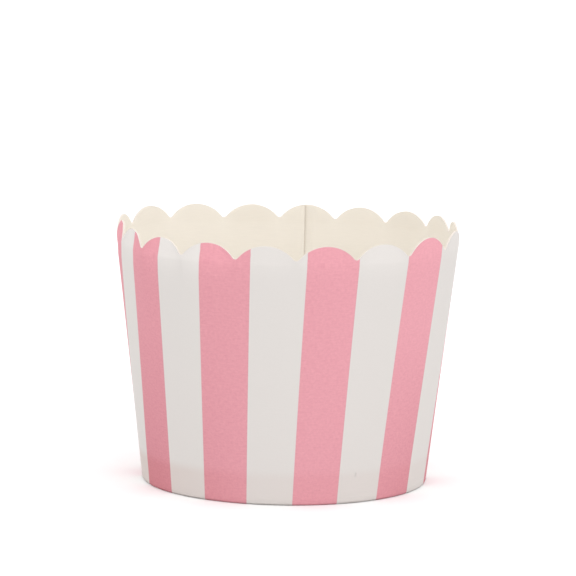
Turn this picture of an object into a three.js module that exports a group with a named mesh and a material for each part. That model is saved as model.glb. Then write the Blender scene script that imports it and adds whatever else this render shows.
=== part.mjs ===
// Paper baking cup: a striped board sidewall with a scalloped rim, rolled into a cone and lap-seamed,
// folded in at the foot round the skirt of a recessed base disc.
// Millimetres, +Z up. The foot stands on z = 0 and the cup's axis is Z. Angles are in degrees,
// from the front (-Y) towards +X.

import * as THREE from 'three';
import { toCreasedNormals } from 'three/addons/utils/BufferGeometryUtils.js';

// Overall sizes, measured outside
const BASE_DIAMETER = 50;
const RIM_DIAMETER = 60; // at the valleys between the scallops
const CUP_HEIGHT = 45; // to the tops of the scallops

// Scalloped rim
const SCALLOP_COUNT = 18;
const SCALLOP_DEPTH = 2.4;
const SCALLOP_PHASE = -7; // the middle of one scallop
const VALLEY_FILLET = 0.7;
const SCALLOP_LEAN = 0.45; // how far a scallop's top leans in from the cone
const LEAN_START = 1; // how far below the valleys the lean starts

// Board and glue
const BOARD = 0.3; // sidewall
const BASE_BOARD = 0.3;
const GLUE_GAP = 0.05; // the glue's thickness between wall, skirt and hem

// Foot and base
const FOLD_RADIUS = 0.3; // outer corners of the fold at the foot
const BASE_RECESS = 5.6; // the disc's underside above the foot
const BASE_CORNER = 0.7; // outside radius between disc and skirt
const HEM_CLEARANCE = 0.8; // from the hem's cut edge up to the disc

// Glued lap seam down the back
const SEAM_ANGLE = 180;
const SEAM_LAP = 6; // measured round the rim
const SEAM_RAMP = 1.5; // the outer layer climbs onto the inner one over this width
const SEAM_PRESS = 1.2; // the lap is pressed flat below this height, where the foot is folded

// Printed stripes
const STRIPE_COUNT = 20; // pink and plain together
const STRIPE_PHASE = 6.9; // where one pink stripe starts at the rim
const PRINT_TWIST = -3.1; // the print's turn from rim to foot
const TWIST_BLEND = 40; // the mesh lines straighten towards the seam over this angle

// Smoothness
const SCALLOP_STEPS = 6;
const FILLET_STEPS = 2;
const LEAN_STEPS = 3;
const FOLD_STEPS = 2;
const CORNER_STEPS = 4;
const DISC_SEGMENTS = 108;
const NARROWEST_STEP = 0.1; // between mesh lines round the rim
const CREASE_ANGLE = 35; // sharper edges than this shade as edges

// Colours
const PAPER_WHITE = '#e2ddd8';
const INK_PINK = '#e9a3ae';
const LINER_CREAM = '#efe6da';
const BASE_CREAM = '#ece2d3';

const FULL_TURN = 360;
const rad = THREE.MathUtils.degToRad;
const deg = THREE.MathUtils.radToDeg;

// The cone: its slope, and how much wider a thickness measures level than square to the wall
const valleyHeight = CUP_HEIGHT - SCALLOP_DEPTH;
const leanHeight = valleyHeight - LEAN_START;
const rimRadius = RIM_DIAMETER / 2;
const wallSlope = (rimRadius - BASE_DIAMETER / 2) / valleyHeight;
const wallAngle = Math.atan(wallSlope);
const levelShare = 1 / Math.cos(wallAngle);

// Depths below the outside face, square to the wall
const skirtOutside = BOARD + GLUE_GAP;
const skirtInside = skirtOutside + BASE_BOARD;
const hemOutside = skirtInside + GLUE_GAP;
const hemInside = hemOutside + BOARD;

// Radius at height z of a surface that lies this depth below the outside face
function coneRadius(z, depth) {
  const lean = THREE.MathUtils.clamp((z - leanHeight) / (CUP_HEIGHT - leanHeight), 0, 1);
  return BASE_DIAMETER / 2 + wallSlope * z - SCALLOP_LEAN * lean ** 2 - depth * levelShare;
}

// The scalloped edge in the flat: round lobes joined by small round valleys
const halfPitch = (Math.PI * rimRadius) / SCALLOP_COUNT;
const lobeRadius = (halfPitch ** 2 + SCALLOP_DEPTH ** 2) / (2 * SCALLOP_DEPTH) - VALLEY_FILLET;
const lobeAngle = Math.asin(halfPitch / (lobeRadius + VALLEY_FILLET));
const lobeEnd = lobeRadius * Math.sin(lobeAngle);

// Height of the edge at a distance along the rim from the middle of a lobe
function edgeHeight(along) {
  const x = Math.abs(along);
  if (x <= lobeEnd) return CUP_HEIGHT - lobeRadius + Math.sqrt(lobeRadius ** 2 - x ** 2);
  const fromValley = Math.min(halfPitch - x, VALLEY_FILLET);
  return valleyHeight + VALLEY_FILLET - Math.sqrt(VALLEY_FILLET ** 2 - fromValley ** 2);
}

function rimHeight(angle) {
  const pitch = FULL_TURN / SCALLOP_COUNT;
  const turn = THREE.MathUtils.euclideanModulo(angle - SCALLOP_PHASE + pitch / 2, pitch) - pitch / 2;
  return edgeHeight(rad(turn) * rimRadius);
}

// Distances along the rim of one lobe's mesh lines, from valley to valley
function lobeLines() {
  const lines = [];
  for (let i = 0; i < FILLET_STEPS; i++) {
    lines.push(VALLEY_FILLET * Math.sin((lobeAngle * i) / FILLET_STEPS) - halfPitch);
  }
  for (let i = 0; i <= SCALLOP_STEPS; i++) {
    lines.push(lobeRadius * Math.sin(lobeAngle * ((2 * i) / SCALLOP_STEPS - 1)));
  }
  for (let i = FILLET_STEPS - 1; i > 0; i--) {
    lines.push(halfPitch - VALLEY_FILLET * Math.sin((lobeAngle * i) / FILLET_STEPS));
  }
  return lines;
}

// Angle from the seam's middle, between -180 and 180
function fromSeam(angle) {
  return THREE.MathUtils.euclideanModulo(angle - SEAM_ANGLE + FULL_TURN / 2, FULL_TURN) - FULL_TURN / 2;
}

const lapEnd = deg(SEAM_LAP / 2 / rimRadius);
const rampStart = -lapEnd - deg(SEAM_RAMP / rimRadius);

// How far the two faces of the wall stand out at the seam, in thicknesses of board.
// The outer layer climbs over the cut end of the inner one, covers it, and ends in a cut edge.
function lapLift(turn) {
  const climb = THREE.MathUtils.clamp((turn - rampStart) / (-lapEnd - rampStart), 0, 1);
  return {
    outside: turn < lapEnd ? climb : 0,
    inside: turn < -lapEnd ? climb : 0,
  };
}

// Upright mesh lines round the wall: the scallops', the stripes' edges and the seam's edges.
// A cut edge of the board has two lines at one angle, with different lifts.
function wallLines() {
  const seam = [
    { turn: rampStart, outside: 0, inside: 0 },
    { turn: -lapEnd, outside: 1, inside: 1 },
    { turn: -lapEnd, outside: 1, inside: 0 },
    { turn: lapEnd, outside: 1, inside: 0 },
    { turn: lapEnd, outside: 0, inside: 0 },
  ];
  const stripes = [];
  for (let i = 0; i < STRIPE_COUNT; i++) {
    stripes.push(fromSeam(STRIPE_PHASE + (FULL_TURN * i) / STRIPE_COUNT));
  }
  const scallops = [];
  for (let i = 0; i < SCALLOP_COUNT; i++) {
    const middle = SCALLOP_PHASE + (FULL_TURN * i) / SCALLOP_COUNT;
    for (const along of lobeLines()) scallops.push(fromSeam(middle + deg(along / rimRadius)));
  }
  const lines = [...seam];
  const isFree = (turn) =>
    lines.every((line) => Math.abs(rad(turn - line.turn)) * rimRadius > NARROWEST_STEP);
  for (const turn of [...stripes, ...scallops]) {
    if (isFree(turn)) lines.push({ turn, ...lapLift(turn) });
  }
  return lines.sort((a, b) => a.turn - b.turn); // a stable sort, so the seam's pairs keep their order
}

// The lines lean with the print, and straighten towards the seam, which lies along the cone
function twistAt(turn, z) {
  const share = THREE.MathUtils.smoothstep(Math.abs(turn), -rampStart, -rampStart + TWIST_BLEND);
  return PRINT_TWIST * share * (1 - Math.min(z / valleyHeight, 1));
}

// The closed section of the wall at one mesh line: up the outside, over the cut edge, down the
// inside, round the inside of the fold, up and over the hem, and back along the foot.
// lift counts board thicknesses away from the skirt. side names the paper's face up to the next point.
function wallSection(line) {
  const top = rimHeight(line.turn + SEAM_ANGLE);
  const hemTop = BASE_RECESS - HEM_CLEARANCE;
  const corner = [];
  for (let i = 0; i <= FOLD_STEPS; i++) {
    const turn = (Math.PI / 2) * (i / FOLD_STEPS);
    corner.push({ z: FOLD_RADIUS * (1 - Math.sin(turn)), inset: FOLD_RADIUS * (1 - Math.cos(turn)) });
  }
  const leaning = [];
  for (let i = 0; i <= LEAN_STEPS; i++) {
    leaning.push(THREE.MathUtils.lerp(leanHeight, top, i / LEAN_STEPS));
  }
  const rising = [...corner].reverse();
  const outside = [
    ...rising.map(({ z, inset }) => ({ z, depth: inset, lift: 0, side: 'print' })),
    { z: SEAM_PRESS, depth: 0, lift: line.outside, side: 'print' },
    ...leaning.map((z) => ({ z, depth: 0, lift: line.outside, side: 'print' })),
  ];
  outside.at(-1).side = 'edge';
  const inside = [
    ...[...leaning].reverse().map((z) => ({ z, depth: BOARD, lift: line.inside, side: 'liner' })),
    { z: SEAM_PRESS, depth: BOARD, lift: line.inside, side: 'liner' },
    { z: BOARD, depth: BOARD, lift: 0, side: 'liner' },
  ];
  const hem = [
    { z: BOARD, depth: hemOutside, lift: 0, side: 'liner' },
    { z: SEAM_PRESS, depth: hemOutside, lift: -line.inside, side: 'liner' },
    { z: hemTop, depth: hemOutside, lift: -line.inside, side: 'edge' },
    { z: hemTop, depth: hemInside, lift: -line.outside, side: 'print' },
    { z: SEAM_PRESS, depth: hemInside, lift: -line.outside, side: 'print' },
    ...corner.map(({ z, inset }) => ({ z, depth: hemInside - inset, lift: 0, side: 'print' })),
  ];
  return [...outside, ...inside, ...hem].map(({ z, depth, lift, side }) => {
    const radius = coneRadius(z, depth - lift * BOARD);
    const angle = rad(line.turn + SEAM_ANGLE + twistAt(line.turn, z));
    const point = new THREE.Vector3(radius * Math.sin(angle), -radius * Math.cos(angle), z);
    return { point, side };
  });
}

// Ink and liner as tints of the board's white
function tint(colour) {
  const wanted = new THREE.Color(colour);
  const board = new THREE.Color(PAPER_WHITE);
  return [wanted.r / board.r, wanted.g / board.g, wanted.b / board.b];
}

const PLAIN = [1, 1, 1];
const PINK = tint(INK_PINK);
const CREAM = tint(LINER_CREAM);

function isPink(turn) {
  const stripe = Math.floor(((turn + SEAM_ANGLE - STRIPE_PHASE) * STRIPE_COUNT) / FULL_TURN);
  return THREE.MathUtils.euclideanModulo(stripe, 2) === 0;
}

function sidewallGeometry() {
  const lines = wallLines();
  const sections = lines.map(wallSection);
  const positions = [];
  const colours = [];
  const addTriangle = (corners, colour) => {
    const [a, b, c] = corners;
    if (a.equals(b) || b.equals(c) || c.equals(a)) return;
    for (const corner of corners) {
      positions.push(corner.x, corner.y, corner.z);
      colours.push(...colour);
    }
  };
  sections.forEach((here, i) => {
    const next = sections[(i + 1) % sections.length];
    const nextTurn = i + 1 < lines.length ? lines[i + 1].turn : lines[0].turn + FULL_TURN;
    const print = isPink((lines[i].turn + nextTurn) / 2) ? PINK : PLAIN;
    const paint = { print, edge: PLAIN, liner: CREAM };
    here.forEach(({ point, side }, k) => {
      const up = (k + 1) % here.length;
      addTriangle([point, next[k].point, next[up].point], paint[side]);
      addTriangle([point, next[up].point, here[up].point], paint[side]);
    });
  });
  const geometry = new THREE.BufferGeometry();
  geometry.setAttribute('position', new THREE.Float32BufferAttribute(positions, 3));
  geometry.setAttribute('color', new THREE.Float32BufferAttribute(colours, 3));
  return toCreasedNormals(geometry, rad(CREASE_ANGLE));
}

// The base disc with its skirt turned down inside the wall, standing in the fold
function baseDiscGeometry() {
  const discTop = BASE_RECESS + BASE_BOARD;
  const skirtFoot = BOARD + GLUE_GAP;
  const centre = new THREE.Vector2(
    coneRadius(discTop - BASE_CORNER, skirtOutside) - BASE_CORNER * levelShare,
    discTop - BASE_CORNER,
  );
  const cornerArc = (radius) => {
    const points = [];
    for (let i = 0; i <= CORNER_STEPS; i++) {
      const turn = THREE.MathUtils.lerp(-wallAngle, Math.PI / 2, i / CORNER_STEPS);
      points.push(new THREE.Vector2(
        centre.x + radius * Math.cos(turn),
        centre.y + radius * Math.sin(turn),
      ));
    }
    return points;
  };
  const profile = [
    new THREE.Vector2(0, BASE_RECESS),
    ...cornerArc(BASE_CORNER - BASE_BOARD).reverse(),
    new THREE.Vector2(coneRadius(skirtFoot, skirtInside), skirtFoot),
    new THREE.Vector2(coneRadius(skirtFoot, skirtOutside), skirtFoot),
    ...cornerArc(BASE_CORNER),
    new THREE.Vector2(0, discTop),
  ];
  return new THREE.LatheGeometry(profile, DISC_SEGMENTS).rotateX(Math.PI / 2);
}

function boardMaterial(options) {
  return new THREE.MeshStandardMaterial({ roughness: 0.6, metalness: 0, ...options });
}

const sidewall = new THREE.Mesh(
  sidewallGeometry(),
  boardMaterial({ color: PAPER_WHITE, vertexColors: true }),
);
sidewall.name = 'sidewall';

const baseDisc = new THREE.Mesh(baseDiscGeometry(), boardMaterial({ color: BASE_CREAM }));
baseDisc.name = 'base_disc';

const cup = new THREE.Group();
cup.add(sidewall, baseDisc);

export default cup;
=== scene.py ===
"""Dresses a paper baking cup: a striped, lined board sidewall and its recessed base disc.

The cup stands on z = 0 with its axis on Z. Lengths are metres, angles are degrees from the front
(-Y) towards +X. The sidewall is modelled as it is made: a printed sheet, rolled with a lap at the
back, cut in scallops, folded in at the foot, and then given the thickness of its board.
"""

import logging
import math
from dataclasses import dataclass, field
from enum import Enum
from typing import Any, Iterable, Optional

import bmesh
import bpy
from mathutils import Matrix, Vector


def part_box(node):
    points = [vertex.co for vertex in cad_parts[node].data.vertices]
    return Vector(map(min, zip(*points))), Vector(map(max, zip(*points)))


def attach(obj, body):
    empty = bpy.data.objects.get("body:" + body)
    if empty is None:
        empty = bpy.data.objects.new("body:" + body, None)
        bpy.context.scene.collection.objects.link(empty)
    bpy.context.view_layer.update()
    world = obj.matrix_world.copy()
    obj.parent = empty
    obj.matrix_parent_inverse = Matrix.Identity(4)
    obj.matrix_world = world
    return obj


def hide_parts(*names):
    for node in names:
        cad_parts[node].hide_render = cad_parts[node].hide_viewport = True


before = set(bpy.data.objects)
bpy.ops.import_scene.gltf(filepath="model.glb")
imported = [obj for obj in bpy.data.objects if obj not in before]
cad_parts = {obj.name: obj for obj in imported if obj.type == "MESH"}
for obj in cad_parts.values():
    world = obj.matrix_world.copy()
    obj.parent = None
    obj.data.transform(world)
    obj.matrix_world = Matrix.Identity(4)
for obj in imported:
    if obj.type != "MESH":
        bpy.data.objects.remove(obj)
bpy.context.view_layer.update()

MM = 0.001
FULL_TURN = 360.0
HALF_TURN = FULL_TURN / 2
STRIPE_EDGE = 0.25  # from the middle of an inked stripe to its edge, in pairs of stripes
SMOOTH_BELOW = 35.0  # degrees between two faces that still shade as one surface
FIBRE_DETAIL = 3.0
FIBRE_ROUGHNESS = 0.6
ROOT_BODY = "root"
BLANK_UV = "blank"  # u is turns round the cup, v is millimetres up the board from the foot
BELOW_CUT = "below_cut"  # millimetres below the die-cut edge

Colour = tuple[float, float, float, float]
Tree = bpy.types.NodeTree
Node = bpy.types.Node
Socket = bpy.types.NodeSocket
Piece = bpy.types.Object
log = logging.getLogger("baking_cup")


class Slot(Enum):
    """Order of the finishes on a piece cut from board."""

    FACE = 0
    BACK = 1
    EDGE = 2


def linear(code: str) -> Colour:
    """Turns an sRGB hex colour into linear values.

    Args:
        code: Six hex digits with a leading hash.

    Returns:
        Linear red, green, blue and an alpha of one.
    """
    parts = [int(code[i:i + 2], 16) / 255 for i in (1, 3, 5)]
    red, green, blue = (p / 12.92 if p <= 0.04045 else ((p + 0.055) / 1.055) ** 2.4 for p in parts)
    return red, green, blue, 1.0


def outward(angle: float) -> Vector:
    """Gives the level direction that points out of the cup at an angle.

    Args:
        angle: Degrees from the front towards +X.

    Returns:
        A unit vector.
    """
    return Vector((math.sin(math.radians(angle)), -math.cos(math.radians(angle)), 0.0))


def add_node(tree: Tree, kind: str, sockets: Optional[dict[Any, Any]] = None, **settings: Any) -> Node:
    """Adds a node, sets its properties and fills its sockets.

    Args:
        tree: The node tree to add to.
        kind: The node's type name without its leading ShaderNode.
        sockets: Socket names or numbers with a value, or with the output socket to link from.
        settings: The node's properties.

    Returns:
        The new node.
    """
    node = tree.nodes.new("ShaderNode" + kind)
    for name, value in settings.items():
        setattr(node, name, value)
    for name, value in (sockets or {}).items():
        if isinstance(value, Socket):
            tree.links.new(value, node.inputs[name])
        else:
            node.inputs[name].default_value = value
    return node


def start_material(name: str) -> tuple[bpy.types.Material, Tree]:
    """Makes a material with an empty node tree.

    Args:
        name: The finish's name.

    Returns:
        The material and its node tree.
    """
    material = bpy.data.materials.new(name)
    material.use_nodes = True
    material.node_tree.nodes.clear()
    return material, material.node_tree


def fibre_noise(tree: Tree, place: Socket, long_mm: float, wide_mm: float) -> Socket:
    """Adds noise that is drawn out round the cup, like fibres and calender marks in board.

    Args:
        tree: The node tree to add to.
        place: Coordinates in millimetres, x along the fibres.
        long_mm: Length of a mark.
        wide_mm: Width of a mark.

    Returns:
        The noise, from 0 to 1.
    """
    stretched = add_node(
        tree,
        "Mapping",
        {"Vector": place, "Scale": (1 / long_mm, 1 / wide_mm, 1 / wide_mm)},
        vector_type="POINT",
    )
    noise = add_node(
        tree,
        "TexNoise",
        {
            "Vector": stretched.outputs["Vector"],
            "Scale": 1.0,
            "Detail": FIBRE_DETAIL,
            "Roughness": FIBRE_ROUGHNESS,
        },
        noise_dimensions="3D",
    )
    return noise.outputs["Fac"]


def blank_place(tree: Tree, round_mm: float) -> tuple[Node, Node]:
    """Adds the coordinates of the sheet before it was rolled.

    Args:
        tree: The node tree to add to.
        round_mm: Millimetres in one turn of the cup.

    Returns:
        A node with u in turns and v in millimetres apart, and one with both in millimetres.
    """
    uv = add_node(tree, "UVMap", uv_map=BLANK_UV)
    apart = add_node(tree, "SeparateXYZ", {"Vector": uv.outputs["UV"]})
    flat = add_node(
        tree,
        "Mapping",
        {"Vector": uv.outputs["UV"], "Scale": (round_mm, 1.0, 1.0)},
        vector_type="POINT",
    )
    return apart, flat


@dataclass(frozen=True)
class SheetNodes:
    """What the steps of the print share: the sheet's coordinates and its noises."""

    tree: Tree
    turns: Socket  # round the cup
    height: Socket  # millimetres up the board from the foot
    place: Socket  # both in millimetres
    side: Socket  # one at the cup's right and minus one at its left
    fibre: Socket
    mottle: Socket


@dataclass(frozen=True)
class StripedBoard:
    """Clay-coated cup board, offset printed: matt, with a slight sheen and ink that mottles on it."""

    plain: str = "#e9e4e0"
    ink: str = "#f5a3b1"
    # deeper ink for the uneven print at the left, and for the painted shade towards the foot
    deep_ink_and_shade: str = "#dd8391"
    deep_share: float = 0.5  # how far the ink deepens from the right of the cup to its left
    deep_start: float = 0.8  # how far right that starts, where 1 is the right side and -1 the left
    foot_shade_shares: tuple[float, float] = (0.65, 1.1)  # painted shade: how far it deepens down to the foot, at the left and at the right
    foot_shade_fade_mm: float = 30.0
    core: str = "#e6dcd6"
    bare_edge_mm: float = 0.1  # the cut chips the ink this far
    bare_edge_share: float = 0.7
    foot_band_mm: float = 5.7  # height of the band at the foot that gets painted shade
    foot_band_soft_mm: float = 1.0
    # painted shade on the foot band: what the colour is multiplied by at the left, where it is deepest
    foot_band_shade: tuple[float, float, float] = (0.945, 0.88, 0.865)
    foot_band_sides: tuple[float, float] = (-0.9, -0.2)  # from full shade at the left to the least
    foot_band_least: float = 0.4
    stripe_count: int = 20
    stripe_start: float = 6.9  # degrees to where one inked stripe starts at the rim's valleys
    twist: float = -3.1  # degrees that the print turns from rim to foot
    valley_mm: float = 42.6
    round_mm: float = 2 * math.pi * 27.5
    edge_soft_mm: float = 0.05  # ink spreads this far at a stripe's edge
    edge_wander_mm: float = 0.03
    squeeze_mm: float = 0.3  # the darker rim where the plate squeezes ink out
    squeeze_shade: float = 0.95
    mottle_mm: float = 0.45
    mottle_amount: float = 0.11
    fibre_long_mm: float = 1.3
    fibre_wide_mm: float = 0.22  # coarser than real fibres, so that they show
    fibre_amount: float = 0.07
    plain_share: float = 0.2  # how much of the mottle the bare coating shows
    thin_ink: float = 0.77  # cover where the ink is thinnest
    full_ink: float = 1.0
    fibre_height_mm: float = 0.012
    wrinkle_long_mm: float = 6.0  # marks that the crimping wheel leaves above the fold
    wrinkle_wide_mm: float = 0.5
    wrinkle_height_mm: float = 0.06
    wrinkle_top_mm: float = 3.0
    wrinkle_foot_mm: float = 0.5
    nick_place: tuple[float, float] = (29.0, 5.3)  # degrees from the front, millimetres up
    nick_size: tuple[float, float] = (0.45, 1.1)
    nick_core: float = 1 / 3  # the share of its size where it is full
    # painted shade in the nick, on top of its dent
    nick_painted_shade: float = 0.9
    roughness: float = 0.75
    roughness_spread: float = 0.06
    gloss: float = 0.25
    ior: float = 1.5

    @property
    def pair_mm(self) -> float:
        """Width of an inked and a plain stripe together."""
        return 2 * self.round_mm / self.stripe_count

    def lay_sheet(self, tree: Tree) -> SheetNodes:
        """Adds the coordinates and noises that the steps of the print share.

        Args:
            tree: The node tree to add to.

        Returns:
            The sheet's nodes.
        """
        apart, flat = blank_place(tree, self.round_mm)
        place = flat.outputs["Vector"]
        turned = add_node(tree, "Math", {0: apart.outputs["X"], 1: 2 * math.pi}, operation="MULTIPLY")
        side = add_node(tree, "Math", {0: turned.outputs[0]}, operation="SINE")
        return SheetNodes(
            tree=tree,
            turns=apart.outputs["X"],
            height=apart.outputs["Y"],
            place=place,
            side=side.outputs[0],
            fibre=fibre_noise(tree, place, self.fibre_long_mm, self.fibre_wide_mm),
            mottle=fibre_noise(tree, place, self.mottle_mm, self.mottle_mm),
        )

    def stripe_distance(self, sheet: SheetNodes) -> Socket:
        """Measures from the middle of an inked stripe, with the print's slant and the ink's spread.

        Args:
            sheet: The sheet's nodes.

        Returns:
            0 in the middle of an inked stripe, a quarter at its edge and a half in a plain one.
        """
        pair = 2 * FULL_TURN / self.stripe_count
        place: Any = -(self.stripe_start + self.twist) / pair
        for value, amount in (
            (sheet.turns, FULL_TURN / pair),
            (sheet.height, self.twist / pair / self.valley_mm),
            (sheet.fibre, self.edge_wander_mm / self.pair_mm),
        ):
            place = add_node(
                sheet.tree, "Math", {0: value, 1: amount, 2: place}, operation="MULTIPLY_ADD"
            ).outputs[0]
        for operation, amount in (
            ("ADD", STRIPE_EDGE), ("FRACT", 0.0), ("SUBTRACT", 2 * STRIPE_EDGE), ("ABSOLUTE", 0.0)
        ):
            place = add_node(sheet.tree, "Math", {0: place, 1: amount}, operation=operation).outputs[0]
        return place

    def ink_cover(self, sheet: SheetNodes, away: Socket) -> Socket:
        """Lays the ink on, thinner where the fibres take less of it.

        Args:
            sheet: The sheet's nodes.
            away: The distance from the middle of an inked stripe.

        Returns:
            The share of ink, which is nothing on a plain stripe.
        """
        grain = add_node(
            sheet.tree, "Mix", {"Factor": 0.5, "A": sheet.fibre, "B": sheet.mottle}, data_type="FLOAT"
        )
        cover = add_node(
            sheet.tree,
            "MapRange",
            {"Value": grain.outputs[0], "To Min": self.full_ink, "To Max": self.thin_ink},
        )
        soft = self.edge_soft_mm / self.pair_mm
        inked = add_node(
            sheet.tree,
            "MapRange",
            {
                "Value": away,
                "From Min": STRIPE_EDGE + soft,
                "From Max": STRIPE_EDGE - soft,
                "To Max": cover.outputs[0],
            },
            interpolation_type="SMOOTHSTEP",
        )
        return inked.outputs[0]

    def grain_shade(self, sheet: SheetNodes) -> Socket:
        """Shades the board's fibres and the coating's mottle.

        Args:
            sheet: The sheet's nodes.

        Returns:
            A shade near one.
        """
        shades = [
            add_node(
                sheet.tree, "MapRange", {"Value": noise, "To Min": 1 - amount, "To Max": 1 + amount}
            ).outputs[0]
            for noise, amount in ((sheet.mottle, self.mottle_amount), (sheet.fibre, self.fibre_amount))
        ]
        return add_node(sheet.tree, "Math", dict(enumerate(shades)), operation="MULTIPLY").outputs[0]

    def ink_tone_and_shade(self, sheet: SheetNodes) -> Socket:
        """Deepens the ink towards the left of the cup, where the print is uneven, and, at both sides,
        towards the foot as painted shade.

        Args:
            sheet: The sheet's nodes.

        Returns:
            The ink's colour with its painted shade.
        """
        leftward = add_node(
            sheet.tree,
            "MapRange",
            {
                "Value": sheet.side,
                "From Min": self.deep_start,
                "From Max": -1.0,
                "To Max": self.deep_share,
            },
        )
        # painted shade: the ink deepens towards the foot at both sides
        sideways = add_node(sheet.tree, "Math", {0: sheet.side, 1: sheet.side}, operation="MULTIPLY")
        foot = add_node(
            sheet.tree,
            "MapRange",
            {
                "Value": sheet.side,
                "From Min": -1.0,
                "To Min": self.foot_shade_shares[0],
                "To Max": self.foot_shade_shares[1],
            },
        )
        low = add_node(
            sheet.tree,
            "MapRange",
            {
                "Value": sheet.height,
                "From Min": self.foot_shade_fade_mm,
                "From Max": 0.0,
                "To Max": foot.outputs[0],
            },
        )
        depth = add_node(
            sheet.tree,
            "Math",
            {0: sideways.outputs[0], 1: low.outputs[0], 2: leftward.outputs[0]},
            operation="MULTIPLY_ADD",
        )
        tone = add_node(
            sheet.tree,
            "Mix",
            {"Factor": depth.outputs[0], 6: linear(self.ink), 7: linear(self.deep_ink_and_shade)},
            data_type="RGBA",
        )
        return tone.outputs[2]

    def print_stripes(self, sheet: SheetNodes) -> Socket:
        """Lays the ink's colour over the plain coating, with a darker line at each stripe's edge.

        Args:
            sheet: The sheet's nodes.

        Returns:
            The colour of the print.
        """
        away = self.stripe_distance(sheet)
        grain = self.grain_shade(sheet)
        squeezed = add_node(
            sheet.tree,
            "MapRange",
            {
                "Value": away,
                "From Min": STRIPE_EDGE - self.squeeze_mm / self.pair_mm,
                "From Max": STRIPE_EDGE,
                "To Min": 1.0,
                "To Max": self.squeeze_shade,
            },
            interpolation_type="SMOOTHSTEP",
        )
        shade = add_node(sheet.tree, "Math", {0: grain, 1: squeezed.outputs[0]}, operation="MULTIPLY")
        calm = add_node(
            sheet.tree, "MapRange", {"Value": grain, "To Min": 1 - self.plain_share, "To Max": 1.0}
        )
        ink, bare = (
            add_node(
                sheet.tree, "VectorMath", {0: colour, "Scale": strength.outputs[0]}, operation="SCALE"
            )
            for colour, strength in ((self.ink_tone_and_shade(sheet), shade), (linear(self.plain)[:3], calm))
        )
        colour = add_node(
            sheet.tree,
            "Mix",
            {"Factor": self.ink_cover(sheet, away), 6: bare.outputs[0], 7: ink.outputs[0]},
            data_type="RGBA",
        )
        return colour.outputs[2]

    def shade_foot_band(self, sheet: SheetNodes, colour: Socket) -> Socket:
        """Paints a warm shade on the band at the foot, deepest at the left.

        Args:
            sheet: The sheet's nodes.
            colour: The colour of the print.

        Returns:
            The colour with the painted shade.
        """
        # painted shade: fades in below the band's top and is deepest at the left
        rolled = add_node(
            sheet.tree,
            "MapRange",
            {
                "Value": sheet.height,
                "From Min": self.foot_band_mm + self.foot_band_soft_mm,
                "From Max": self.foot_band_mm - self.foot_band_soft_mm,
            },
            interpolation_type="SMOOTHSTEP",
        )
        toward_left_share = add_node(
            sheet.tree,
            "MapRange",
            {
                "Value": sheet.side,
                "From Min": self.foot_band_sides[0],
                "From Max": self.foot_band_sides[1],
                "To Min": 1.0,
                "To Max": self.foot_band_least,
            },
        )
        share = add_node(
            sheet.tree, "Math", {0: rolled.outputs[0], 1: toward_left_share.outputs[0]}, operation="MULTIPLY"
        )
        pressed = add_node(
            sheet.tree,
            "Mix",
            {"Factor": share.outputs[0], 6: colour, 7: (*self.foot_band_shade, 1.0)},
            data_type="RGBA",
            blend_type="MULTIPLY",
        )
        return pressed.outputs[2]

    def nick(self, sheet: SheetNodes) -> Socket:
        """Marks the small upright nick just under the top of the shaded band at the foot.

        Args:
            sheet: The sheet's nodes.

        Returns:
            One in the middle of the nick, and nothing away from it.
        """
        angle, height = self.nick_place
        wide, tall = self.nick_size
        shares = []
        for where, middle, reach in (
            (sheet.turns, angle / FULL_TURN, wide / 2 / self.round_mm), (sheet.height, height, tall / 2)
        ):
            offset = add_node(sheet.tree, "Math", {0: where, 1: middle}, operation="SUBTRACT")
            away = add_node(sheet.tree, "Math", {0: offset.outputs[0]}, operation="ABSOLUTE")
            share = add_node(
                sheet.tree,
                "MapRange",
                {"Value": away.outputs[0], "From Min": reach, "From Max": reach * self.nick_core},
            )
            shares.append(share.outputs[0])
        return add_node(sheet.tree, "Math", dict(enumerate(shares)), operation="MULTIPLY").outputs[0]

    def chip_edge(self, sheet: SheetNodes, colour: Socket) -> Socket:
        """Bares the board's core along the die-cut edge.

        Args:
            sheet: The sheet's nodes.
            colour: The colour so far.

        Returns:
            The colour with the bare line.
        """
        cut = add_node(sheet.tree, "Attribute", attribute_name=BELOW_CUT)
        ragged = add_node(
            sheet.tree,
            "Math",
            {0: sheet.mottle, 1: -self.bare_edge_mm, 2: cut.outputs["Fac"]},
            operation="MULTIPLY_ADD",
        )
        chipped = add_node(
            sheet.tree,
            "MapRange",
            {
                "Value": ragged.outputs[0],
                "From Min": self.bare_edge_mm,
                "From Max": self.bare_edge_mm / 2,
                "To Max": self.bare_edge_share,
            },
        )
        surface = add_node(
            sheet.tree,
            "Mix",
            {"Factor": chipped.outputs[0], 6: colour, 7: linear(self.core)},
            data_type="RGBA",
        )
        return surface.outputs[2]

    def relief(self, sheet: SheetNodes, nick: Socket) -> Socket:
        """Raises the fibres and the wrinkles above the fold, and sinks the nick.

        Args:
            sheet: The sheet's nodes.
            nick: The nick's share.

        Returns:
            The normal.
        """
        bump = add_node(
            sheet.tree, "Bump", {"Height": sheet.fibre, "Distance": self.fibre_height_mm * MM}
        )
        near_fold = add_node(
            sheet.tree,
            "MapRange",
            {"Value": sheet.height, "From Min": self.wrinkle_top_mm, "From Max": self.wrinkle_foot_mm},
        )
        marks = fibre_noise(sheet.tree, sheet.place, self.wrinkle_long_mm, self.wrinkle_wide_mm)
        fold_marks = add_node(
            sheet.tree, "Math", {0: marks, 1: near_fold.outputs[0]}, operation="MULTIPLY"
        )
        height = add_node(sheet.tree, "Math", {0: fold_marks.outputs[0], 1: nick}, operation="SUBTRACT")
        creased = add_node(
            sheet.tree,
            "Bump",
            {
                "Height": height.outputs[0],
                "Distance": self.wrinkle_height_mm * MM,
                "Normal": bump.outputs[0],
            },
        )
        return creased.outputs[0]

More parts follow.
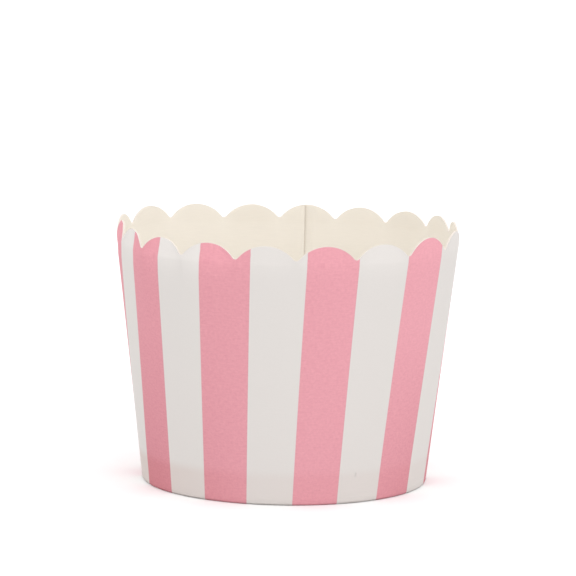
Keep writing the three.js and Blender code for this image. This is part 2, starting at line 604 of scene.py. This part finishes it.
    def make(self) -> bpy.types.Material:
        """Builds the printed face."""
        material, tree = start_material("clay_coated_board_striped")
        sheet = self.lay_sheet(tree)
        nick = self.nick(sheet)
        # painted shade in the nick, which the relief also sinks
        marked = add_node(
            tree,
            "Mix",
            {
                "Factor": nick,
                6: self.shade_foot_band(sheet, self.print_stripes(sheet)),
                7: (self.nick_painted_shade, self.nick_painted_shade, self.nick_painted_shade, 1.0),
            },
            data_type="RGBA",
            blend_type="MULTIPLY",
        )
        rough = add_node(
            tree,
            "MapRange",
            {
                "Value": sheet.mottle,
                "To Min": self.roughness - self.roughness_spread,
                "To Max": self.roughness + self.roughness_spread,
            },
        )
        shader = add_node(
            tree,
            "BsdfPrincipled",
            {
                "Base Color": self.chip_edge(sheet, marked.outputs[2]),
                "Roughness": rough.outputs[0],
                "IOR": self.ior,
                "Specular IOR Level": self.gloss,
                "Normal": self.relief(sheet, nick),
            },
        )
        add_node(tree, "OutputMaterial", {"Surface": shader.outputs[0]})
        return material


@dataclass(frozen=True)
class LinedBoard:
    """The inside of cup board: ivory fibres under a thin greaseproof film, smoother than the outside."""

    name: str = "film_lined_board"
    colour: str = "#e8e2d8"
    round_mm: float = 2 * math.pi * 27.5
    fibre_long_mm: float = 2.5
    fibre_wide_mm: float = 0.3
    fibre_amount: float = 0.03
    fibre_height_mm: float = 0.01
    roughness: float = 0.42
    ior: float = 1.5

    def make(self) -> bpy.types.Material:
        """Builds the lined face."""
        material, tree = start_material(self.name)
        flat = blank_place(tree, self.round_mm)[1]
        fibre = fibre_noise(tree, flat.outputs["Vector"], self.fibre_long_mm, self.fibre_wide_mm)
        streak = add_node(
            tree,
            "MapRange",
            {"Value": fibre, "To Min": 1 - self.fibre_amount, "To Max": 1 + self.fibre_amount},
        )
        colour = add_node(
            tree,
            "VectorMath",
            {0: linear(self.colour)[:3], "Scale": streak.outputs[0]},
            operation="SCALE",
        )
        bump = add_node(tree, "Bump", {"Height": fibre, "Distance": self.fibre_height_mm * MM})
        shader = add_node(
            tree,
            "BsdfPrincipled",
            {
                "Base Color": colour.outputs[0],
                "Roughness": self.roughness,
                "IOR": self.ior,
                "Normal": bump.outputs[0],
            },
        )
        add_node(tree, "OutputMaterial", {"Surface": shader.outputs[0]})
        return material


@dataclass(frozen=True)
class CutEdge:
    """Die-cut edge of board: bare pressed fibres in thin layers, dull and white."""

    colour: str = "#dcd3ca"
    layer_mm: float = 0.06
    layer_amount: float = 0.08
    layer_detail: float = 2.0
    roughness: float = 0.9

    def make(self) -> bpy.types.Material:
        """Builds the cut edge."""
        material, tree = start_material("die_cut_board_edge")
        place = add_node(tree, "TexCoord")
        grain = add_node(
            tree,
            "TexNoise",
            {
                "Vector": place.outputs["Object"],
                "Scale": 1 / (self.layer_mm * MM),
                "Detail": self.layer_detail,
            },
        )
        shade = add_node(
            tree,
            "MapRange",
            {"Value": grain.outputs["Fac"], "To Min": 1 - self.layer_amount, "To Max": 1.0},
        )
        colour = add_node(
            tree,
            "VectorMath",
            {0: linear(self.colour)[:3], "Scale": shade.outputs[0]},
            operation="SCALE",
        )
        shader = add_node(
            tree, "BsdfPrincipled", {"Base Color": colour.outputs[0], "Roughness": self.roughness}
        )
        add_node(tree, "OutputMaterial", {"Surface": shader.outputs[0]})
        return material


def spin_section(name: str, places: list[Vector], columns: int, turn: float) -> Piece:
    """Draws a line from a single point and spins it round the cup's axis.

    Args:
        name: The piece's name.
        places: The line's points in order.
        columns: Steps of the spin, which closes when it is a full turn.
        turn: Degrees of the spin, from the front towards +X.

    Returns:
        The new piece at the origin, in edit mode.
    """
    bpy.ops.object.select_all(action="DESELECT")
    bpy.ops.mesh.primitive_plane_add(size=MM)
    piece = bpy.context.object
    piece.name = name
    piece.data.name = name
    bpy.ops.object.mode_set(mode="EDIT")
    bpy.ops.mesh.select_mode(type="VERT")
    bpy.ops.mesh.merge(type="CENTER")
    bpy.ops.transform.translate(value=places[0])
    for here, point in zip(places, places[1:]):
        bpy.ops.mesh.extrude_vertices_move(TRANSFORM_OT_translate={"value": point - here})
    bpy.ops.mesh.select_all(action="SELECT")
    bpy.ops.mesh.spin(
        steps=columns,
        angle=-math.radians(turn),
        center=(0.0, 0.0, 0.0),
        axis=(0.0, 0.0, 1.0),
        use_auto_merge=True,
    )
    return piece


def choose(piece: Piece, numbers: Iterable[int]) -> None:
    """Selects just these points in edit mode.

    Args:
        piece: The object in edit mode.
        numbers: The points' numbers.
    """
    bpy.ops.mesh.select_all(action="DESELECT")
    mesh = bmesh.from_edit_mesh(piece.data)
    mesh.verts.ensure_lookup_table()
    for number in numbers:
        mesh.verts[number].select = True
    mesh.select_flush_mode()
    bmesh.update_edit_mesh(piece.data, loop_triangles=False, destructive=False)


def apply_modifier(piece: Piece, kind: str, **settings: Any) -> None:
    """Adds a modifier and applies it.

    Args:
        piece: The object in object mode.
        kind: The modifier's type.
        settings: The modifier's properties.
    """
    bpy.ops.object.select_all(action="DESELECT")
    piece.select_set(True)
    bpy.context.view_layer.objects.active = piece
    modifier = piece.modifiers.new(kind.lower(), kind)
    for name, value in settings.items():
        setattr(modifier, name, value)
    bpy.ops.object.modifier_apply(modifier=modifier.name)


def thicken(piece: Piece, finishes: Iterable[bpy.types.Material], board: float) -> None:
    """Gives a bare sheet its finishes and the thickness of its board, below the face as drawn.

    Args:
        piece: The sheet in object mode.
        finishes: The finishes in the order of Slot.
        board: The board's thickness.
    """
    for finish in finishes:
        piece.data.materials.append(finish)
    apply_modifier(
        piece,
        "SOLIDIFY",
        thickness=board,
        offset=-1.0,
        use_even_offset=True,
        material_offset=Slot.BACK.value,
        material_offset_rim=Slot.EDGE.value,
    )
    bpy.ops.object.shade_smooth_by_angle(angle=math.radians(SMOOTH_BELOW))


@dataclass
class Cone:
    """The straight taper that the wall, the skirt and the hem share."""

    foot_radius: float = 25.0 * MM
    rim_radius: float = 30.0 * MM
    valley_height: float = 42.6 * MM
    board: float = 0.3 * MM
    glue: float = 0.05 * MM

    @property
    def slope(self) -> float:
        """How much the radius grows with height."""
        return (self.rim_radius - self.foot_radius) / self.valley_height

    def radius(self, z: float, depth: float = 0.0) -> float:
        """Radius of a surface that lies below the outside face.

        Args:
            z: Height above the table.
            depth: Distance below the outside face, square to the wall.

        Returns:
            The radius.
        """
        return self.foot_radius + self.slope * z - depth * math.hypot(1.0, self.slope)


@dataclass
class Sidewall:
    """The rolled board blank: scalloped rim, lap seam at the back, and the hem folded in at the foot."""

    cone: Cone
    height: float
    scallop_count: int = 18
    scallop_phase: float = -7.0  # degrees to the middle of the front scallop
    valley_fillet: float = 0.7 * MM
    lean_start: float = 1.0 * MM
    lean_spread: float = 4.0  # degrees of the top's arc that a finger bends
    lean_reach: float = 4.2 * MM
    # Millimetres that each scallop's top leans in, from the front one round by +X
    leans: tuple[float, ...] = (
        0.15, 0.15, 0.35, 0.1, 0.0, 0.4, 0.3, 0.35, 0.1, 0.2, 0.3, 0.1, 0.25, 0.2, 0.8, 0.55, 0.8, 0.75
    )
    # Middle and reach in degrees, and millimetres out, where the rim is out of round
    dents: tuple[tuple[float, float, float], ...] = (
        (-72.0, 22.0, -0.75), (52.0, 35.0, 0.45), (78.0, 20.0, 0.25), (104.0, 24.0, -0.55),
        (150.0, 40.0, -0.3), (-119.0, 38.0, 0.7)
    )
    # The same for the places where the rim is pushed round the cup, towards +X at the front
    pushes: tuple[tuple[float, float, float], ...] = ((-118.0, 42.0, 1.8),)
    # The same for the places where the rim stands higher
    lifts: tuple[tuple[float, float, float], ...] = (
        (-128.0, 38.0, 0.85), (-84.0, 26.0, 0.62), (53.0, 12.0, 0.5), (100.0, 50.0, 0.7)
    )
    cage_points: int = 17
    cage_span: float = 2.1  # the cage's width in radii of the rim
    # Angle, and degrees that the print is off there at the rim and at the foot
    shifts: tuple[tuple[float, float, float], ...] = (
        (-150.0, 0.0, 0.0), (-80.0, 3.0, -2.5), (-65.0, 0.3, -0.4), (-47.0, -0.6, -0.1),
        (-29.0, -0.8, -0.3), (-11.0, -0.75, -0.4), (7.0, -0.3, -0.4), (25.0, -0.9, -0.6),
        (43.0, 0.0, -0.4), (61.0, 0.0, 0.4), (82.0, 4.5, 1.5), (120.0, 2.0, 0.8), (170.0, 0.0, 0.0)
    )
    lean_rows: int = 8
    wall_rows: int = 14
    band_height: float = 6.4 * MM
    band_rows: int = 8
    fold_radius: float = 0.42 * MM
    fold_rows: int = 5
    hem_height: float = 4.8 * MM
    hem_rows: int = 6
    column_step: float = 0.5  # degrees
    seam_angle: float = 180.0  # degrees, like the lap and the ramp
    seam_lap: float = 12.0
    seam_ramp: float = 3.0
    seam_press: float = 2.0 * MM  # the inner end's fold is squeezed up below this
    node: str = "sidewall"
    material_slot: str = "striped_board"
    rows: list[Vector] = field(default_factory=list)

    @property
    def pitch(self) -> float:
        """Degrees from one scallop to the next."""
        return FULL_TURN / self.scallop_count

    @property
    def lean_height(self) -> float:
        """Height of the lowest row that is drawn up with the scallops."""
        return self.cone.valley_height - self.lean_start

    @property
    def start_angle(self) -> float:
        """Where the inner end of the sheet lies."""
        return self.seam_angle - FULL_TURN - self.seam_lap / 2

    @property
    def column_count(self) -> int:
        """Columns of points round the sheet, both ends included."""
        return round((FULL_TURN + self.seam_lap) / self.column_step) + 1

    @property
    def fold_depth(self) -> float:
        """Depth from the outside face to the hem's inside face."""
        return 3 * self.cone.board + 2 * self.cone.glue

    def angle_of(self, column: int) -> float:
        """Angle of a column of points."""
        return self.start_angle + column * self.column_step

    def from_middle(self, angle: float) -> float:
        """Degrees from the middle of the nearest scallop."""
        return (angle - self.scallop_phase + self.pitch / 2) % self.pitch - self.pitch / 2

    def edge_height(self, angle: float) -> float:
        """Height of the scalloped edge.

        Args:
            angle: Degrees from the front.

        Returns:
            The edge's height above the table.
        """
        depth = self.height - self.cone.valley_height
        half = math.radians(self.pitch / 2) * self.cone.rim_radius
        lobe = (half**2 + depth**2) / (2 * depth) - self.valley_fillet
        along = abs(math.radians(self.from_middle(angle))) * self.cone.rim_radius
        if along <= half * lobe / (lobe + self.valley_fillet):
            return self.height - lobe + math.sqrt(lobe**2 - along**2)
        from_valley = half - along
        dip = self.valley_fillet - math.sqrt(self.valley_fillet**2 - from_valley**2)
        return self.cone.valley_height + dip

    def section(self) -> list[Vector]:
        """Draws the printed face's section as (radius, height), from the rim's valleys to the hem.

        Returns:
            The points, one for each row.
        """
        cone = self.cone
        lean = self.lean_height
        heights = [lean + self.lean_start * (1 - i / self.lean_rows) for i in range(self.lean_rows)]
        tall = lean - self.band_height
        heights += [lean - tall * i / self.wall_rows for i in range(self.wall_rows)]
        low = self.band_height - self.fold_radius
        heights += [self.band_height - low * i / self.band_rows for i in range(self.band_rows)]
        points = [Vector((cone.radius(z), z)) for z in heights]
        turns = [math.pi / 2 * i / self.fold_rows for i in range(self.fold_rows + 1)]
        bend = [
            (self.fold_radius * (1 - math.cos(turn)), self.fold_radius * (1 - math.sin(turn)))
            for turn in turns
        ]
        points += [Vector((cone.radius(z, inset), z)) for inset, z in bend]
        points += [Vector((cone.radius(z, self.fold_depth - inset), z)) for inset, z in reversed(bend)]
        for i in range(1, self.hem_rows + 1):
            z = self.fold_radius + (self.hem_height - self.fold_radius) * i / self.hem_rows
            points.append(Vector((cone.radius(z, self.fold_depth), z)))
        return points

    def point_number(self, column: int, row: int) -> int:
        """Number of the point in a column and a row."""
        return column * len(self.rows) + row

    def roll_sheet(self) -> Piece:
        """Draws the section at the sheet's inner end and spins it round, past itself.

        Returns:
            The sheet, in edit mode.
        """
        self.rows = self.section()
        out = outward(self.start_angle)
        places = [out * point.x + Vector((0.0, 0.0, point.y)) for point in self.rows]
        turn = FULL_TURN + self.seam_lap
        return spin_section("printed_sidewall", places, self.column_count - 1, turn)

    def cut_scallops(self, piece: Piece) -> None:
        """Draws the rows above the lean's start up to the scalloped edge.

        Args:
            piece: The sheet in edit mode.
        """
        lean = self.lean_height
        columns: dict[float, list[int]] = {}
        for column in range(self.column_count):
            turn = self.from_middle(self.angle_of(column))
            columns.setdefault(round(abs(turn), 3), []).append(column)
        for turn, group in columns.items():
            edge = self.edge_height(self.scallop_phase + turn)
            choose(piece, [self.point_number(c, r) for c in group for r in range(self.lean_rows)])
            bpy.ops.transform.resize(
                value=(1.0, 1.0, (edge - lean) / self.lean_start), center_override=(0.0, 0.0, lean)
            )

    def bend_scallops(self, piece: Piece) -> None:
        """Bends each scallop in along a soft crease that dips from valley to valley.

        Args:
            piece: The sheet in edit mode.
        """
        for number, lean in enumerate(self.leans):
            middle = self.scallop_phase + number * self.pitch
            choose(piece, [
                self.point_number(column, 0)
                for column in range(self.column_count)
                if abs((self.angle_of(column) - middle + HALF_TURN) % FULL_TURN - HALF_TURN)
                <= self.lean_spread
            ])
            bpy.ops.transform.translate(
                value=outward(middle) * -lean * MM,
                use_proportional_edit=True,
                proportional_edit_falloff="LINEAR",
                proportional_size=self.lean_reach,
            )

    def press_out_of_round(self, piece: Piece) -> None:
        """Sets the wall a little out of round with a lattice that moves only at the rim.

        Args:
            piece: The sheet in object mode.
        """
        bpy.ops.object.select_all(action="DESELECT")
        span = self.cage_span * self.cone.rim_radius
        tall = self.height - self.band_height
        bpy.ops.object.add(type="LATTICE", location=(0.0, 0.0, self.band_height + tall / 2))
        cage = bpy.context.object
        cage.scale = (span, span, tall)
        cage.data.points_u = cage.data.points_v = self.cage_points
        cage.data.points_w = 2
        cage.data.interpolation_type_w = "KEY_LINEAR"
        for point in cage.data.points:
            if point.co.z < 0.0:
                continue
            x, y = point.co.x * span, point.co.y * span
            angle = math.degrees(math.atan2(x, -y))
            share = min(math.hypot(x, y) / self.cone.rim_radius, 1.0)
            out, round_cup, lift = (
                sum(
                    amount * MM * math.cos(math.pi / 2 * min(abs(angle - middle) / reach, 1.0)) ** 2
                    for middle, reach, amount in places
                )
                for places in (self.dents, self.pushes, self.lifts)
            )
            move = outward(angle) * out + outward(angle + 90) * round_cup
            point.co_deform = point.co + move * (share / span)
            point.co_deform.z += lift / tall
        bpy.context.view_layer.update()
        apply_modifier(piece, "LATTICE", object=cage)
        bpy.data.objects.remove(cage)

    def print_shift(self, angle: float, height: float) -> float:
        """How far the print lies off its true place.

        Args:
            angle: Degrees from the front.
            height: Height above the table.

        Returns:
            Degrees towards +X.
        """
        share = min(max(height / self.cone.valley_height, 0.0), 1.0)
        for (start, rim_a, foot_a), (end, rim_b, foot_b) in zip(self.shifts, self.shifts[1:]):
            if start <= angle <= end:
                along = (angle - start) / (end - start)
                rim = rim_a + (rim_b - rim_a) * along
                foot = foot_a + (foot_b - foot_a) * along
                return foot + (rim - foot) * share
        return 0.0

    def lap_ends(self, piece: Piece) -> None:
        """Lifts the outer end round the inner one and squeezes up the inner end's fold.

        Args:
            piece: The sheet in edit mode.
        """
        lift = self.cone.board + self.cone.glue
        fold_middle = len(self.rows) - self.hem_rows - self.fold_rows - 1
        climb_start = self.seam_angle - self.seam_lap / 2 - self.seam_ramp
        under_end = self.start_angle + self.seam_lap
        raised = [row for row, point in enumerate(self.rows) if point.y < self.seam_press]
        for column in range(self.column_count):
            angle = self.angle_of(column)
            if angle > climb_start:
                move = outward(angle) * lift * min((angle - climb_start) / self.seam_ramp, 1.0)
                for rows, way in (
                    (range(fold_middle), 1.0), (range(fold_middle, len(self.rows)), -1.0)
                ):
                    choose(piece, [self.point_number(column, row) for row in rows])
                    bpy.ops.transform.translate(value=move * way)
            if angle < under_end + self.seam_ramp:
                share = min((under_end + self.seam_ramp - angle) / self.seam_ramp, 1.0)
                choose(piece, [self.point_number(column, row) for row in raised])
                bpy.ops.transform.resize(
                    value=(1.0, 1.0, 1 - share * lift / self.seam_press),
                    center_override=(0.0, 0.0, self.seam_press),
                )

    def lay_out_blank(self, piece: Piece) -> None:
        """Gives each point its place on the flat sheet as a UV map.

        Args:
            piece: The sheet in object mode.
        """
        along = [self.cone.valley_height]
        for before, after in zip(self.rows, self.rows[1:]):
            along.append(along[-1] - (after - before).length)
        foot = next(i for i, point in enumerate(self.rows) if point.y <= 0.0)
        board_heights = [a - along[foot] for a in along]
        layer = piece.data.uv_layers.new(name=BLANK_UV)
        below = piece.data.attributes.new(BELOW_CUT, "FLOAT", "POINT")
        lean = self.lean_height
        places = []
        for column in range(self.column_count):
            angle = self.angle_of(column)
            edge = self.edge_height(angle)
            for row, height in enumerate(board_heights):
                if row < self.lean_rows:
                    height = lean + (edge - lean) * (1 - row / self.lean_rows)
                below.data[len(places)].value = (edge - height) / MM
                printed = angle - self.print_shift(angle, height)
                places.append((printed / FULL_TURN, height / MM))
        for loop in piece.data.loops:
            layer.data[loop.index].uv = places[loop.vertex_index]

    def build(self) -> Piece:
        """Builds and dresses the sidewall.

        Returns:
            The finished piece.
        """
        piece = self.roll_sheet()
        self.cut_scallops(piece)
        self.bend_scallops(piece)
        self.lap_ends(piece)
        bpy.ops.object.mode_set(mode="OBJECT")
        self.lay_out_blank(piece)
        self.press_out_of_round(piece)
        finishes = (StripedBoard().make(), LinedBoard().make(), CutEdge().make())
        thicken(piece, finishes, self.cone.board)
        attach(piece, ROOT_BODY)
        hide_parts(self.node)
        return piece


@dataclass
class BaseDisc:
    """The plain disc that closes the foot, with its crimped skirt turned down inside the wall."""

    cone: Cone
    top: float
    skirt_foot: float
    corner: float = 0.7 * MM
    corner_rows: int = 5
    skirt_rows: int = 6
    disc_rows: int = 8
    dish: float = 0.2 * MM  # the disc's middle stands this much higher
    column_count: int = 360
    crimp_count: int = 90
    crimp_depth: float = 0.08 * MM
    column_slack: float = 0.5  # degrees by which a gather is narrower than half its pitch
    merge_distance: float = 0.001 * MM
    node: str = "base_disc"
    material_slot: str = "base_board"

    def section(self) -> list[Vector]:
        """Draws the upper face's section as (radius, height), from the disc's middle to the skirt."""
        cone = self.cone
        depth = cone.board + cone.glue
        wall_angle = math.atan(cone.slope)
        centre = Vector((
            cone.radius(self.top - self.corner, depth) - self.corner * math.hypot(1.0, cone.slope),
            self.top - self.corner,
        ))
        points = [Vector((0.0, self.top))]
        for i in range(1, self.disc_rows):
            share = i / self.disc_rows
            points.append(Vector((centre.x * share, self.top - self.dish * share**2)))
        for i in range(self.corner_rows + 1):
            turn = math.pi / 2 - (math.pi / 2 + wall_angle) * i / self.corner_rows
            points.append(centre + self.corner * Vector((math.cos(turn), math.sin(turn))))
        low, high = self.skirt_foot, points[-1].y
        for i in range(1, self.skirt_rows + 1):
            z = high + (low - high) * i / self.skirt_rows
            points.append(Vector((cone.radius(z, depth), z)))
        return points

    def crimp_skirt(self, piece: Piece, skirt_top: float) -> None:
        """Presses the skirt's gathers in, one by one round the disc.

        Args:
            piece: The disc in edit mode.
            skirt_top: Height where the skirt starts.
        """
        pitch = FULL_TURN / self.crimp_count
        mesh = bmesh.from_edit_mesh(piece.data)
        turns = {
            point.index: math.degrees(math.atan2(point.co.x, -point.co.y)) % pitch
            for point in mesh.verts
            if point.co.z < skirt_top
        }
        widest = pitch / 2 - self.column_slack
        choose(piece, [number for number, turn in turns.items() if turn < widest])
        shrink = 1 - self.crimp_depth / self.cone.radius(self.skirt_foot)
        bpy.ops.transform.resize(value=(shrink, shrink, 1.0), center_override=(0.0, 0.0, 0.0))

    def build(self) -> Piece:
        """Builds and dresses the base disc.

        Returns:
            The finished piece.
        """
        rows = self.section()
        places = [outward(0.0) * point.x + Vector((0.0, 0.0, point.y)) for point in rows]
        piece = spin_section("base_disc_board", places, self.column_count, FULL_TURN)
        bpy.ops.mesh.select_all(action="SELECT")
        bpy.ops.mesh.remove_doubles(threshold=self.merge_distance)
        bpy.ops.mesh.normals_make_consistent(inside=False)
        self.crimp_skirt(piece, rows[-self.skirt_rows - 1].y)
        bpy.ops.object.mode_set(mode="OBJECT")
        lined = LinedBoard(name="film_lined_base_board")
        bare = LinedBoard(name="bare_base_board", colour="#e9e1d6", roughness=0.7)
        thicken(piece, (lined.make(), bare.make(), CutEdge().make()), self.cone.board)
        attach(piece, ROOT_BODY)
        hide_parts(self.node)
        return piece


@dataclass
class Studio:
    """Plain white table, soft light and the camera at the photograph's place."""

    camera_place: Vector = field(default_factory=lambda: Vector((0.000214, -0.61781, 0.12291)))
    camera_target: Vector = field(default_factory=lambda: Vector((0.000214, 0.0, 0.03377)))
    camera_roll: float = 0.876  # degrees
    lens: float = 222.37  # millimetres, like the sensor
    sensor: float = 36.0
    table_size: float = 8.0
    table_colour: str = "#f4f4f4"
    table_bounce: str = "#a4a4a4"  # what the table gives back to the cup
    sky_strength: float = 1.35
    key_power: float = 1.75
    key_size: float = 1.0
    key_place: Vector = field(default_factory=lambda: Vector((0.5, -0.9, 0.8)))

    def add_camera(self) -> None:
        """Places the camera and makes it the scene's."""
        forward = (self.camera_target - self.camera_place).normalized()
        level = forward.cross(Vector((0.0, 0.0, 1.0))).normalized()
        upright = level.cross(forward)
        roll = math.radians(self.camera_roll)
        right = level * math.cos(roll) + upright * math.sin(roll)
        up = upright * math.cos(roll) - level * math.sin(roll)
        data = bpy.data.cameras.new("camera")
        data.lens = self.lens
        data.sensor_width = self.sensor
        camera = bpy.data.objects.new("camera", data)
        bpy.context.scene.collection.objects.link(camera)
        turn = Matrix((right, up, -forward)).transposed().to_4x4()
        camera.matrix_world = Matrix.Translation(self.camera_place) @ turn
        bpy.context.scene.camera = camera

    def add_table(self) -> None:
        """Lays the white table under the cup."""
        bpy.ops.object.select_all(action="DESELECT")
        bpy.ops.mesh.primitive_plane_add(size=self.table_size)
        table = bpy.context.object
        table.name = "table_top"
        material, tree = start_material("white_table")
        rays = add_node(tree, "LightPath").outputs
        seen = rays["Is Camera Ray"]
        for name in ("Is Glossy Ray", "Is Transmission Ray"):
            seen = add_node(tree, "Math", {0: seen, 1: rays[name]}, operation="MAXIMUM").outputs[0]
        colour = add_node(
            tree,
            "Mix",
            {"Factor": seen, 6: linear(self.table_bounce), 7: linear(self.table_colour)},
            data_type="RGBA",
        )
        shader = add_node(
            tree,
            "BsdfPrincipled",
            {"Base Color": colour.outputs[2], "Roughness": 1.0, "Specular IOR Level": 0.0},
        )
        add_node(tree, "OutputMaterial", {"Surface": shader.outputs[0]})
        table.data.materials.append(material)

    def add_light(self) -> None:
        """Adds the even sky and the soft key lamp at the front right."""
        world = bpy.data.worlds.new("soft_studio")
        world.use_nodes = True
        world.node_tree.nodes.clear()
        light = add_node(world.node_tree, "LightPath")
        strength = add_node(
            world.node_tree,
            "MapRange",
            {"Value": light.outputs["Is Camera Ray"], "To Min": self.sky_strength, "To Max": 1.0},
        )
        sky = add_node(
            world.node_tree,
            "Background",
            {"Color": (1.0, 1.0, 1.0, 1.0), "Strength": strength.outputs[0]},
        )
        add_node(world.node_tree, "OutputWorld", {"Surface": sky.outputs[0]})
        bpy.context.scene.world = world
        data = bpy.data.lights.new("key", "AREA")
        data.shape = "SQUARE"
        data.size = self.key_size
        data.energy = self.key_power
        lamp = bpy.data.objects.new("key", data)
        bpy.context.scene.collection.objects.link(lamp)
        lamp.location = self.key_place
        lamp.rotation_mode = "QUATERNION"
        lamp.rotation_quaternion = (-self.key_place).to_track_quat("-Z", "Y")

    def build(self) -> None:
        """Sets up the camera, the table and the light."""
        bpy.context.scene.view_settings.view_transform = "Standard"
        self.add_camera()
        self.add_table()
        self.add_light()


def main() -> None:
    """Builds the cup's pieces in order and reports each one."""
    logging.basicConfig(level=logging.INFO, format="%(name)s: %(message)s")
    cone = Cone()
    wall_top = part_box("sidewall")[1].z
    skirt_foot, disc_top = (corner.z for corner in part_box("base_disc"))
    Studio().build()
    for part in (
        Sidewall(cone=cone, height=wall_top), BaseDisc(cone=cone, top=disc_top, skirt_foot=skirt_foot)
    ):
        piece = part.build()
        log.info("%s: %d faces", piece.name, len(piece.data.polygons))


if __name__ == "__main__":
    main()
